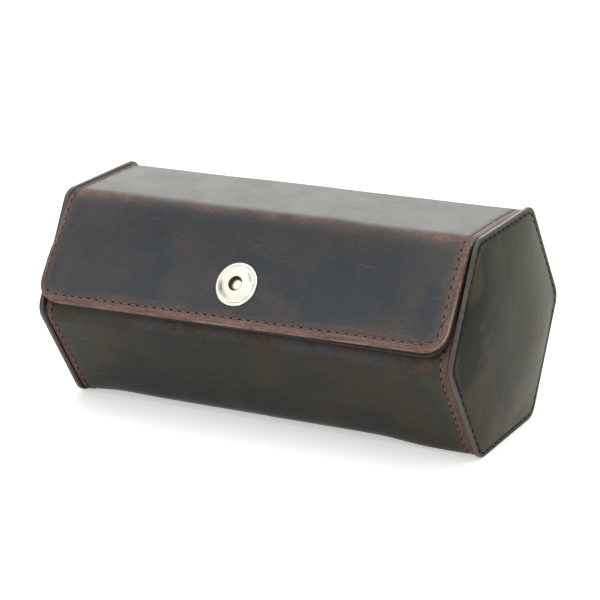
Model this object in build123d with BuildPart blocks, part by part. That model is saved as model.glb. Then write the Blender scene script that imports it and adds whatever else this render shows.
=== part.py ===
from build123d import *
import os
from math import atan2, cos, degrees, radians, sin, sqrt, tan

# A hexagonal leather case for three watches: one long wrap of leather on boards, two sewn end
# panels, a lid on a leather hinge with a press stud, two dividers and three lift-out cushions.
# Millimetres. X runs along the case, the front is -Y, +Z is up and the base lies on z = 0.

# Case
length = 180.4  # over both end panels
height = 86.0  # across the flats of the hexagonal end panels
end_overhang = 1.0  # end panels proud of the wrap and lid all round, but flush with the base
bend_radius = 9.0  # outside of the leather where the wrap bends
panel_corner = 7.5  # corners of the end panels

# Layers of the wall, from the outside
leather = 1.8
board = 1.5
lining = 0.8

# End panels
end_leather = 1.6
end_edge_bevel = 0.4
gusset_leg = 7.8  # along the wrap, under its edge stitching
gusset_reach = 5.0  # down the end panel, inside the wrap
pan_clearance = 0.4  # from the gusset to the padded middle of the end lining

# Lid
lid_side_gap = 0.8  # between the lid and each end panel
flap_tilt = 5.8  # degrees that the front flap stands out
flap_gap = 4.0  # up the front face from its lower corner line to the flap
flap_corner = 9.0

# Lip that stands behind the flap and carries the stud
lip_height = 32.0

# Press stud
snap_x = -2.8
snap_rise = 20.2  # up the front face from its lower corner line
cap_radius = 8.8
cap_rim_height = 0.8
cap_rim_bevel = 0.4
cap_dome_radius = 7.4
cap_dome_height = 1.1  # above the rim
cap_hole_radius = 2.9
neck_wall = 0.7
fit_gap = 0.15  # round metal parts in each other and in their holes
rivet_sink = 1.7  # from the top of the cap's dome down to the rivet's head
magnet_radius = 8.0
socket_radius = 5.5
socket_flange = 0.7
socket_roof = 0.5
socket_bore_depth = 1.6
snap_space = 1.0  # between the socket's and the stud's flanges when shut
stud_radius = 5.0
stud_flange = 0.6
stud_nub_radius = 2.2
stud_nub_height = 1.9
stud_nub_bevel = 0.9
stud_shank_radius = 1.6
stud_back_radius = 4.5
stud_back_height = 0.8

# Inside
cushion_names = ("left", "middle", "right")
suede = 0.8  # cover of the dividers
divider_top = 63.0
divider_scoop = 9.0
cushion_height = 44.0
cushion_side_radius = 16.0
cushion_cover = 1.2
cushion_gap = 0.3  # to the lining below and beside
cushion_end_gap = 1.2  # to the dividers

# Worked out from the sizes above
wall = leather + board + lining
wrap_half = length / 2 - end_leather - lining
inner_half = wrap_half - board
lid_half = wrap_half - lid_side_gap
slope = radians(60)
middle = height / 2
top = height - end_overhang
side = (height - 2 * end_overhang) / sqrt(3)
base_half = side - middle / tan(slope)
end_side = height / sqrt(3)

# Corner lines of the wrap and the lid, as (y, z)
front = Vector(-side, middle)
base_front = Vector(-base_half, 0)
base_back = Vector(base_half, 0)
back = Vector(side, middle)
top_back = Vector(side / 2, top)
top_front = Vector(-side / 2, top)

# Corners of the end panels, clockwise seen from +X
end_outline = [
    Vector(-end_side / 2, height),
    Vector(end_side / 2, height),
    Vector(end_side, middle),
    Vector(end_side / 2, 0),
    Vector(-end_side / 2, 0),
    Vector(-end_side, middle),
]


def inward(a, b):
    """Unit vector from a run towards the inside of the case; runs go clockwise seen from +X."""
    along = (b - a).normalized()
    return Vector(along.Y, -along.X)


def shifted(point, before, after, depth):
    """A corner moved inside by depth, square to the runs that meet there."""
    return point + (before + after) * (depth / (1 + before.dot(after)))


def inset(path, depth):
    """An open path moved inside by depth."""
    faces = [inward(a, b) for a, b in zip(path, path[1:])]
    corners = [shifted(*c, depth) for c in zip(path[1:-1], faces, faces[1:])]
    return [path[0] + faces[0] * depth] + corners + [path[-1] + faces[-1] * depth]


def inset_loop(loop, depth):
    """A closed outline moved inside by depth."""
    faces = [inward(a, b) for a, b in zip(loop, loop[1:] + loop[:1])]
    return [shifted(*c, depth) for c in zip(loop, faces[-1:] + faces[:-1], faces)]


def bend_cut(before, corner, after):
    """Length of run that the bend takes up on each side of a corner."""
    turn = (corner - before).get_angle(after - corner)
    return bend_radius * tan(radians(turn) / 2)


def flat_runs(path):
    """The straight runs of a path between its bends."""
    cuts = [0.0] + [bend_cut(*c) for c in zip(path, path[1:], path[2:])] + [0.0]
    runs = []
    for a, b, cut_a, cut_b in zip(path, path[1:], cuts, cuts[1:]):
        along = (b - a).normalized()
        runs.append((a + along * cut_a, b - along * cut_b))
    return runs


def at_height(a, b, z):
    """The point of the line a-b at height z."""
    return a + (b - a) * ((z - a.Y) / (b.Y - a.Y))


def layer(path, outer, inner):
    """Section of one bent layer of the wall, between two depths; sharp where deeper than the bend."""
    with BuildSketch() as section:
        with BuildLine():
            outside = FilletPolyline(*inset(path, outer), radius=max(bend_radius - outer, 0))
            inside = FilletPolyline(*inset(path, inner), radius=max(bend_radius - inner, 0))
            Line(outside @ 0, inside @ 0)
            Line(outside @ 1, inside @ 1)
        make_face()
    return section.sketch


def flat_board(run):
    """Section of a board that fills its layer along one straight run."""
    a, b = run
    face = inward(a, b)
    outside = [a + face * leather, b + face * leather]
    with BuildSketch() as section:
        Polygon(*outside, *[p + face * board for p in reversed(outside)], align=None)
    return section.sketch


def hinge_layer(outer, inner):
    """Section of one layer of the hinge bend, between the wrap and the lid."""
    with BuildSketch() as section:
        with BuildLine():
            outside = CenterArc(hinge_centre, bend_radius - outer, 30, 60)
            inside = CenterArc(hinge_centre, bend_radius - inner, 30, 60)
            Line(outside @ 0, inside @ 0)
            Line(outside @ 1, inside @ 1)
        make_face()
    return section.sketch


def rounded(loop, radius):
    """Section of a closed outline with every corner rounded."""
    with BuildSketch() as section:
        with BuildLine():
            FilletPolyline(*loop, radius=radius, close=True)
        make_face()
    return section.sketch


def seat(point, face):
    """Plane on the outside of a wall, at a point of its section; face points into the case."""
    return Plane((snap_x, point.X, point.Y), x_dir=(1, 0, 0), z_dir=(0, -face.X, -face.Y))


def save(piece, name):
    piece.part.label = name
    export_step(piece.part, f"parts/{name}.step")


os.makedirs("parts", exist_ok=True)

# Paths of the outside: the wrap from the hinge round the base to the lip, and the lid
hinge_cut = bend_cut(top_front, top_back, back)
hinge_centre = top_back - Vector(hinge_cut, bend_radius)
wrap_start = top_back + (back - top_back).normalized() * hinge_cut
lid_end = top_back - Vector(hinge_cut, 0)

flap_out = radians(180 + 60 - flap_tilt)
flap_down = Vector(cos(flap_out), sin(flap_out))
flap_end = top_front + flap_down * ((side - flap_gap) / cos(radians(flap_tilt)))
flap_inward = inward(flap_end, top_front)
lid_path = [flap_end, top_front, lid_end]

# The lip leans in by as much as the two halves of the press stud need between it and the flap
snap_at = top_front + flap_down * ((side - snap_rise) / cos(radians(flap_tilt)))
snap_stack = wall + socket_flange + snap_space + stud_flange
stud_at = snap_at + flap_inward * snap_stack
lip_up = (stud_at - front).normalized()
wrap_path = [wrap_start, back, base_back, base_front, front, front + lip_up * lip_height]

# Outline of the space between the wrap, the lip and the top
lip_meets_top = at_height(front, stud_at, top)
chamber = [lip_meets_top, top_back, back, base_back, base_front, front]

# Seats of the press stud
stud_inward = inward(front, stud_at)
lid_snap = seat(snap_at, flap_inward)
lip_snap = seat(stud_at, stud_inward)

cap_top = cap_rim_height + cap_dome_height
neck_radius = cap_hole_radius + neck_wall
neck_hole = neck_radius + fit_gap
neck_depth = wall + socket_flange - socket_bore_depth - socket_roof
shank_hole = stud_shank_radius + fit_gap
upward = (Align.CENTER, Align.CENTER, Align.MIN)
downward = (Align.CENTER, Align.CENTER, Align.MAX)

# ---- Wrap ----
with BuildPart() as wrap_leather:
    with BuildSketch(Plane.YZ):
        add(layer(wrap_path, 0, leather))
    extrude(amount=wrap_half, both=True)
    with Locations(lip_snap.location):
        Cylinder(shank_hole, leather * 3, mode=Mode.SUBTRACT)
save(wrap_leather, "wrap_leather")

with BuildPart() as wrap_lining:
    with BuildSketch(Plane.YZ):
        add(layer(wrap_path, leather + board, wall))
    extrude(amount=inner_half, both=True)
    with Locations(lip_snap.offset(-wall).location):
        Cylinder(shank_hole, lining * 3, mode=Mode.SUBTRACT)
save(wrap_lining, "wrap_lining")

board_half = wrap_half - gusset_leg
wall_boards = ["rear_upper_board", "rear_lower_board", "base_board", "front_lower_board", "lip_board"]
for name, run in zip(wall_boards, flat_runs(wrap_path)):
    with BuildPart() as wall_board:
        with BuildSketch(Plane.YZ):
            add(flat_board(run))
        extrude(amount=board_half, both=True)
        if name == "lip_board":
            with Locations(lip_snap.offset(-wall / 2).location):
                Cylinder(shank_hole, wall, mode=Mode.SUBTRACT)
    save(wall_board, name)

# ---- End panels ----
pan_inset = wall + gusset_reach + pan_clearance
for name, sign in (("left", -1), ("right", 1)):
    panel_plane = Plane.YZ.offset(sign * wrap_half)
    leather_plane = Plane.YZ.offset(sign * (wrap_half + lining))

    with BuildPart() as end_skin:
        with BuildSketch(leather_plane):
            add(rounded(end_outline, panel_corner))
        extrude(amount=sign * end_leather)
        outer_face = end_skin.faces().sort_by(Axis.X)[0 if sign < 0 else -1]
        chamfer(outer_face.edges(), end_edge_bevel)
    save(end_skin, f"{name}_end_leather")

    with BuildPart() as end_lining:
        with BuildSketch(leather_plane):
            add(rounded(end_outline, panel_corner))
        extrude(amount=-sign * lining)
        with BuildSketch(leather_plane):
            add(rounded(inset_loop(chamber, pan_inset), panel_corner))
        extrude(amount=-sign * (board + lining))
        with BuildSketch(leather_plane):
            add(rounded(inset_loop(chamber, pan_inset + lining), panel_corner - lining))
        extrude(amount=-sign * board, mode=Mode.SUBTRACT)
    save(end_lining, f"{name}_end_lining")

    with BuildPart() as end_board:
        with BuildSketch(leather_plane):
            add(rounded(inset_loop(chamber, pan_inset + lining), panel_corner - lining))
        extrude(amount=-sign * board)
    save(end_board, f"{name}_end_board")

    with BuildPart() as gusset:
        with BuildSketch(panel_plane):
            add(layer(wrap_path, leather, leather + board))
        extrude(amount=-sign * gusset_leg)
        with BuildSketch(panel_plane):
            add(layer(wrap_path, leather, wall + gusset_reach))
        extrude(amount=-sign * board)
    save(gusset, f"{name}_gusset")

# ---- Lid ----
with BuildPart() as lid_leather:
    with BuildSketch(Plane.YZ):
        add(layer(lid_path, 0, leather))
    extrude(amount=lid_half, both=True)
    flap_edge = lid_leather.faces().sort_by(Axis.Z)[0]
    fillet(flap_edge.edges().sort_by(SortBy.LENGTH)[:2], flap_corner)
    with Locations(lid_snap.location):
        Cylinder(neck_hole, leather * 3, mode=Mode.SUBTRACT)
save(lid_leather, "lid_leather")

with BuildPart() as lid_lining:
    with BuildSketch(Plane.YZ):
        add(layer(lid_path, leather + board, wall))
    extrude(amount=lid_half, both=True)
    flap_edge = lid_lining.faces().sort_by(Axis.Z)[0]
    fillet(flap_edge.edges().sort_by(SortBy.LENGTH)[:2], flap_corner)
    with Locations(lid_snap.offset(-wall).location):
        Cylinder(neck_hole, lining * 3, mode=Mode.SUBTRACT)
save(lid_lining, "lid_lining")

flap_run, top_run = flat_runs(lid_path)
with BuildPart() as lid_front_board:
    with BuildSketch(Plane.YZ):
        add(flat_board(flap_run))
    extrude(amount=lid_half, both=True)
    flap_edge = lid_front_board.faces().sort_by(Axis.Z)[0]
    fillet(flap_edge.edges().sort_by(SortBy.LENGTH)[:2], flap_corner)
    with Locations(lid_snap.offset(-wall / 2).location):
        Cylinder(magnet_radius + fit_gap, wall, mode=Mode.SUBTRACT)
save(lid_front_board, "lid_front_board")

with BuildPart() as lid_top_board:
    with BuildSketch(Plane.YZ):
        add(flat_board(top_run))
    extrude(amount=lid_half, both=True)
save(lid_top_board, "lid_top_board")

# ---- Hinge: the leather and lining bend round the top rear edge ----
with BuildPart() as hinge_leather:
    with BuildSketch(Plane.YZ):
        add(hinge_layer(0, leather))
    extrude(amount=lid_half, both=True)
save(hinge_leather, "hinge_leather")

with BuildPart() as hinge_lining:
    with BuildSketch(Plane.YZ):
        add(hinge_layer(leather + board, wall))
    extrude(amount=inner_half, both=True)
save(hinge_lining, "hinge_lining")

# ---- Press stud, lid half: cap ring, rivet in its hole, magnet in the board, socket inside ----
cap_section = Plane(lid_snap.origin, x_dir=lid_snap.x_dir, z_dir=-lid_snap.y_dir)
with BuildPart() as snap_cap:
    with BuildSketch(cap_section):
        with BuildLine():
            dome = TangentArc(
                (cap_hole_radius, cap_top),
                (cap_dome_radius, cap_rim_height),
                tangent=(1, 0),
            )
            Polyline(
                dome @ 1,
                (cap_radius - cap_rim_bevel, cap_rim_height),
                (cap_radius, cap_rim_height - cap_rim_bevel),
                (cap_radius, 0),
                (neck_radius, 0),
                (neck_radius, -neck_depth),
                (cap_hole_radius, -neck_depth),
                dome @ 0,
            )
        make_face()
    revolve(axis=Axis(lid_snap.origin, lid_snap.z_dir))
save(snap_cap, "snap_cap")

with BuildPart(lid_snap) as snap_rivet:
    with Locations((0, 0, -neck_depth)):
        Cylinder(cap_hole_radius - fit_gap, neck_depth + cap_top - rivet_sink, align=upward)
save(snap_rivet, "snap_rivet")

with BuildPart(lid_snap) as snap_magnet:
    with Locations((0, 0, -leather)):
        Cylinder(magnet_radius, board, align=downward)
    Cylinder(neck_hole, 2 * wall, mode=Mode.SUBTRACT)
save(snap_magnet, "snap_magnet")

with BuildPart(lid_snap) as snap_socket:
    with Locations((0, 0, -wall)):
        Cylinder(socket_radius, socket_flange, align=downward)
    with Locations((0, 0, -neck_depth)):
        Cylinder(neck_radius, wall - neck_depth, align=downward)
    with Locations((0, 0, -wall - socket_flange)):
        Cylinder(cap_hole_radius, socket_bore_depth, align=upward, mode=Mode.SUBTRACT)
save(snap_socket, "snap_socket")

# ---- Press stud, lip half: stud through the lip, plate behind it ----
lip_snap_axis = Axis(lip_snap.origin, lip_snap.z_dir)
with BuildPart(lip_snap) as snap_stud:
    Cylinder(stud_nub_radius, stud_flange + stud_nub_height, align=upward)
    chamfer(snap_stud.faces().sort_by(lip_snap_axis)[-1].edges(), stud_nub_bevel)
    Cylinder(stud_radius, stud_flange, align=upward)
    Cylinder(stud_shank_radius, wall, align=downward)
save(snap_stud, "snap_stud")

with BuildPart(lip_snap) as snap_stud_back:
    with Locations((0, 0, -wall)):
        Cylinder(stud_back_radius, stud_back_height, align=downward)
save(snap_stud_back, "snap_stud_back")

# ---- Dividers: a board in a suede cover, seated on the lining all round, scooped on top ----
room = inset_loop(chamber, wall)
divider = board + 2 * suede
compartment = (2 * inner_half - (len(cushion_names) - 1) * divider) / len(cushion_names)
pitch = compartment + divider


def divider_outline(top):
    """Outline that follows the lining up to a height, with a scooped top edge."""
    front_top = at_height(room[5], room[0], top)
    back_top = at_height(room[2], room[1], top)
    with BuildSketch() as outline:
        with BuildLine():
            FilletPolyline(back_top, *room[2:], front_top, radius=bend_radius - wall)
            ThreePointArc(front_top, (front_top + back_top) / 2 - Vector(0, divider_scoop), back_top)
        make_face()
    return outline.sketch


for name, x in (("left", -pitch / 2), ("right", pitch / 2)):
    with BuildPart() as divider_board:
        with BuildSketch(Plane.YZ.offset(x)):
            add(divider_outline(divider_top - suede))
        extrude(amount=board / 2, both=True)
    save(divider_board, f"{name}_divider_board")

    with BuildPart() as divider_cover:
        with BuildSketch(Plane.YZ.offset(x)):
            add(divider_outline(divider_top))
        extrude(amount=divider / 2, both=True)
        add(divider_board.part, mode=Mode.SUBTRACT)
    save(divider_cover, f"{name}_divider_cover")

# ---- Cushions: an oval as wide as the sloped walls leave room for ----
half_height = cushion_height / 2
cushion_z = wall + cushion_gap + half_height
to_sloped_wall = middle - end_overhang - wall - (middle - cushion_z) * cos(slope) - cushion_gap
half_width = cushion_side_radius + (to_sloped_wall - cushion_side_radius) / sin(slope)
cushion_length = compartment - 2 * cushion_end_gap


def oval(depth):
    """Section of the cushion at a depth under its cover: four arcs that run into each other."""
    reach = half_width - cushion_side_radius
    rise = half_height - cushion_side_radius
    drop = (reach**2 - rise**2) / (2 * rise)
    crown = half_height + drop - depth
    turn = degrees(atan2(drop, reach))
    with BuildSketch() as section:
        with BuildLine():
            CenterArc((reach, 0), cushion_side_radius - depth, -turn, 2 * turn)
            CenterArc((0, -drop), crown, turn, 180 - 2 * turn)
            CenterArc((-reach, 0), cushion_side_radius - depth, 180 - turn, 2 * turn)
            CenterArc((0, drop), crown, 180 + turn, 180 - 2 * turn)
        make_face()
    return section.sketch


for name, x in zip(cushion_names, (-pitch, 0, pitch)):
    cushion_plane = Plane((x, 0, cushion_z), x_dir=(0, 1, 0), z_dir=(1, 0, 0))
    with BuildPart() as core:
        with BuildSketch(cushion_plane):
            add(oval(cushion_cover))
        extrude(amount=cushion_length / 2 - cushion_cover, both=True)
    save(core, f"{name}_cushion_core")

    with BuildPart() as cover:
        with BuildSketch(cushion_plane):
            add(oval(0))
        extrude(amount=cushion_length / 2, both=True)
        add(core.part, mode=Mode.SUBTRACT)
    save(cover, f"{name}_cushion_cover")
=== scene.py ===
import bpy
import numpy as np
from mathutils import Matrix, Vector
from mathutils.bvhtree import BVHTree


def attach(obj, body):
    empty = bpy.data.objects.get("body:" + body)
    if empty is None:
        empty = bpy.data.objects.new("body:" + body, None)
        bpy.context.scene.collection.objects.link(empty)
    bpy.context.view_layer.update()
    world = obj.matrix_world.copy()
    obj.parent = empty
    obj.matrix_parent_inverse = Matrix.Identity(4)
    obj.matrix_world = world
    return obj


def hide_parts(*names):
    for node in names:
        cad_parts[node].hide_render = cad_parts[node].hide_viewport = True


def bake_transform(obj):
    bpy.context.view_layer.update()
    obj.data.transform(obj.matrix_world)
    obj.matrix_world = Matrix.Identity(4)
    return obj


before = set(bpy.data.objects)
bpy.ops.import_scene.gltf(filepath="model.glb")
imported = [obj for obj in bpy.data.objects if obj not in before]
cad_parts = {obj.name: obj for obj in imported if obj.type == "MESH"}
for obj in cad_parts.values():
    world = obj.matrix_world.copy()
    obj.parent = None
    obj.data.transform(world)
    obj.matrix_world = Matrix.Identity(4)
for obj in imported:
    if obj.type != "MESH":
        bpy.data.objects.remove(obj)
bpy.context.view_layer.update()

scene = bpy.context.scene
scene.view_settings.view_transform = "Standard"

# ---- Camera ----
# A long lens 0.9 m away, a little above the case and to its right, level but for a slight lean of the
# horizon. Its place is counted from the case's middle, back, right and up along its own axes.
turn, climb, lean = np.radians([29.4447, 18.3833, -1.9299])
case_middle = np.array([0, 0, 0.0434])
way_back, way_right, way_up = 0.8983, 0.00106, 0.00023
lens_pixels, frame_pixels, sensor_width = 2277.59, 600, 36.0
backward = np.array([np.sin(turn) * np.cos(climb), -np.cos(turn) * np.cos(climb), np.sin(climb)])
level_right = np.array([np.cos(turn), np.sin(turn), 0.0])
level_up = np.cross(backward, level_right)
right = np.cos(lean) * level_right + np.sin(lean) * level_up
up = np.cos(lean) * level_up - np.sin(lean) * level_right
eye = case_middle + backward * way_back + right * way_right + up * way_up
camera = bpy.data.objects.new("camera", bpy.data.cameras.new("camera"))
scene.collection.objects.link(camera)
camera.data.sensor_width = sensor_width
camera.data.lens = lens_pixels / frame_pixels * sensor_width
camera.data.clip_start, camera.data.clip_end = 0.05, 20
camera.matrix_world = Matrix(np.column_stack([right, up, backward, eye]).tolist() + [[0, 0, 0, 1]])
scene.camera = camera

# ---- Wrap ----
# One long piece of pull-up leather, 1.8 mm thick, that bends round four corners of the hexagon on
# its boards: rear wall, base, front wall, and a lip that leans in behind the flap. All sizes from
# here on are millimetres, and each mesh is made in metres.
height, overhang = 86.0, 1.0
middle, top = height / 2, height - overhang
side = (height - 2 * overhang) / np.sqrt(3)
base_half = side - middle / np.sqrt(3)
bend_radius = 9.0
leather, board, lining = 1.8, 1.5, 0.8
wall = leather + board + lining
wrap_half = 87.8
top_front, top_back = np.array([-side / 2, top]), np.array([side / 2, top])
back, front = np.array([side, middle]), np.array([-side, middle])
base_back, base_front = np.array([base_half, 0.0]), np.array([-base_half, 0.0])
lip_end = np.array([-27.873, 67.467])
rear_join = top_back + (back - top_back) * 0.36
stitch_inset, stitch_pitch = 3.1, 3.77
wrap_seam_middle, wrap_seam_half, wrap_seam_corner = -0.5, 85.0, 1.0
hollow_depth, hollow_width, hollow_middle, hollow_half, hollow_fade = 1.35, 5.5, -12, 82, 26
far_inside = 20.0


def bent_line(corners, radius, samples=20001):
    """A line round its corners. Its heading is steady on the flats and turns evenly along arcs of the
    given radius; the points are the heading's cosine and sine summed over the length."""
    runs = np.diff(np.array(corners, float), axis=0)
    heading = np.unwrap(np.arctan2(runs[:, 1], runs[:, 0]))
    turns = np.abs(np.diff(heading))
    cuts = radius * np.tan(turns / 2)
    lengths = np.zeros(2 * len(runs) - 1)
    lengths[::2] = np.hypot(*runs.T) - np.r_[0, cuts] - np.r_[cuts, 0]
    lengths[1::2] = radius * turns
    stations = np.r_[0, np.cumsum(lengths)]
    along = np.linspace(0, stations[-1], samples)
    angle = np.interp(along, stations, np.repeat(heading, 2))
    halfway = (angle[1:] + angle[:-1]) / 2
    steps = np.column_stack([np.cos(halfway), np.sin(halfway)]) * (along[1] - along[0])
    points = np.array(corners[0]) + np.vstack([[0, 0], np.cumsum(steps, axis=0)])
    return {"along": along, "points": points, "angle": angle, "stations": stations, "length": along[-1]}


def on_line(line, along, aside):
    """The point at a length along a line, moved to its right by aside: point + aside * (sin, -cos)."""
    angle = np.interp(along, line["along"], line["angle"])
    a = np.interp(along, line["along"], line["points"][:, 0]) + aside * np.sin(angle)
    b = np.interp(along, line["along"], line["points"][:, 1]) - aside * np.cos(angle)
    return a, b


def on_wall(line, across, along, depth):
    """A point of the wall: the section line gives y and z, moved inwards by depth, and across is x."""
    y, z = on_line(line, along, depth)
    return np.stack(np.broadcast_arrays(across, y, z), axis=-1)


def smooth_step(t):
    """0 below 0, 1 above 1, and between them three times t squared less twice t cubed."""
    t = np.clip(t, 0, 1)
    return t * t * (3 - 2 * t)


def bell(distance, width):
    """1 at no distance, falling to 1 / e at the width: exp of minus the square of their ratio."""
    return np.exp(-((distance / width) ** 2))


def bend_share(line, along, shift):
    """1 at shift past the middle of each bend, falling off beside it as a bell of the distance."""
    middles = (line["stations"][1:-1:2] + line["stations"][2::2]) / 2 + shift
    return bell(along[..., None] - middles, 3.1).max(-1)


def grid_quads(rows, columns, round_rows=False, round_columns=False):
    """Four corners of every cell of a grid, row by row; a round direction joins its end to its start."""
    r = np.arange(rows if round_rows else rows - 1)[:, None]
    c = np.arange(columns if round_columns else columns - 1)[None, :]
    r2, c2 = (r + 1) % rows, (c + 1) % columns
    corners = np.broadcast_arrays(r * columns + c, r * columns + c2, r2 * columns + c2, r2 * columns + c)
    return np.stack(corners, axis=-1).reshape(-1, 4)


def make_piece(name, points, faces, finishes, finish_of=None, values=None, sharp=50):
    """A mesh object from points in millimetres and groups of faces as corner numbers, smooth but for
    sharp edges. The space that the faces enclose is the sum of a . (b x c) over their triangles; if it
    comes out negative, they are turned round."""
    points = np.reshape(points, (-1, 3))
    space = 0.0
    for group in faces:
        for k in range(1, group.shape[1] - 1):
            a, b, c = points[group[:, 0]], points[group[:, k]], points[group[:, k + 1]]
            space += (a * np.cross(b, c)).sum()
    if space < 0:
        faces = [group[:, ::-1] for group in faces]
    mesh = bpy.data.meshes.new(name)
    mesh.from_pydata((points / 1000).tolist(), [], [face for group in faces for face in group.tolist()])
    mesh.polygons.foreach_set("use_smooth", np.ones(len(mesh.polygons), bool))
    mesh.set_sharp_from_angle(angle=np.radians(sharp))
    for finish in finishes:
        mesh.materials.append(finish)
    if finish_of is not None:
        mesh.polygons.foreach_set("material_index", np.array(finish_of, np.int32))
    inside = np.full(len(points), far_inside)
    for key, value in {"edge": inside, "seam": inside, **(values or {})}.items():
        layer = mesh.attributes.new(key, "FLOAT", "POINT")
        layer.data.foreach_set("value", np.ravel(value).astype(np.float32))
    piece = bpy.data.objects.new(name, mesh)
    scene.collection.objects.link(piece)
    return piece


def read(items, key, width):
    """One row of numbers for each face or corner of a mesh."""
    found = np.zeros(len(items) * width)
    items.foreach_get(key, found)
    return found.reshape(-1, width)


def feed(node, sockets):
    """Gives each socket a value or a link to another node's output; a colour is three numbers."""
    for key, value in sockets.items():
        socket = node.inputs[key]
        if isinstance(value, bpy.types.NodeSocket):
            node.id_data.links.new(value, socket)
        else:
            socket.default_value = (*value, 1) if socket.type == "RGBA" else value


def put(near, kind, sockets=None, **settings):
    """Adds a shader node with its settings to a tree, or to the tree of an output, and feeds it."""
    made = near.id_data.nodes.new("ShaderNode" + kind)
    for key, value in settings.items():
        setattr(made, key, value)
    feed(made, sockets or {})
    return made


def joined(way, first, *others):
    """Values joined one after another: ADD, MULTIPLY, MAXIMUM or MINIMUM."""
    for other in others:
        first = put(first, "Math", {0: first, 1: other}, operation=way).outputs[0]
    return first


def rescale(value, low, high, to_low=0.0, to_high=1.0):
    """Value moved smoothly from one range to another, and held there."""
    sockets = {"Value": value, 1: low, 2: high, 3: to_low, 4: to_high}
    return put(value, "MapRange", sockets, interpolation_type="SMOOTHSTEP").outputs[0]


def two_tones(share, first, second):
    """Colour that goes from the first to the second by share."""
    return put(share, "Mix", {0: share, 6: first, 7: second}, data_type="RGBA").outputs[2]


def noise(place, scale, detail=2.0, roughness=0.5, distortion=0.0, drift=None):
    """Soft noise round 0.5 with marks about 1 / scale metres across. A drift changes it by a value."""
    sockets = {
        "Vector": place, "Scale": scale, "Detail": detail, "Roughness": roughness, "Distortion": distortion}
    if drift is None:
        return put(place, "TexNoise", sockets).outputs[0]
    return put(place, "TexNoise", {**sockets, "W": drift}, noise_dimensions="4D").outputs[0]


def stretched(place, scale, rotation=(0, 0, 0)):
    """The place turned and then scaled along each axis."""
    return put(place, "Mapping", {"Vector": place, "Rotation": rotation, "Scale": scale}).outputs[0]


def raised(height, strength, distance, under=None):
    """A surface direction that follows the slope of a height, over the one under it."""
    sockets = {"Height": height, "Strength": strength, "Distance": distance}
    if under is not None:
        sockets["Normal"] = under
    return put(height, "Bump", sockets).outputs[0]


def mesh_value(place, key):
    """A value that the mesh carries at each point."""
    return put(place, "Attribute", attribute_name=key).outputs["Fac"]


def new_finish(name, **steady):
    """An empty material: its shader with the steady values set, and place on the object."""
    finish = bpy.data.materials.new(name)
    finish.use_nodes = True
    shader = finish.node_tree.nodes["Principled BSDF"]
    feed(shader, {key.replace("_", " "): value for key, value in steady.items()})
    return finish, shader, put(finish.node_tree, "TexCoord").outputs["Object"]


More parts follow.
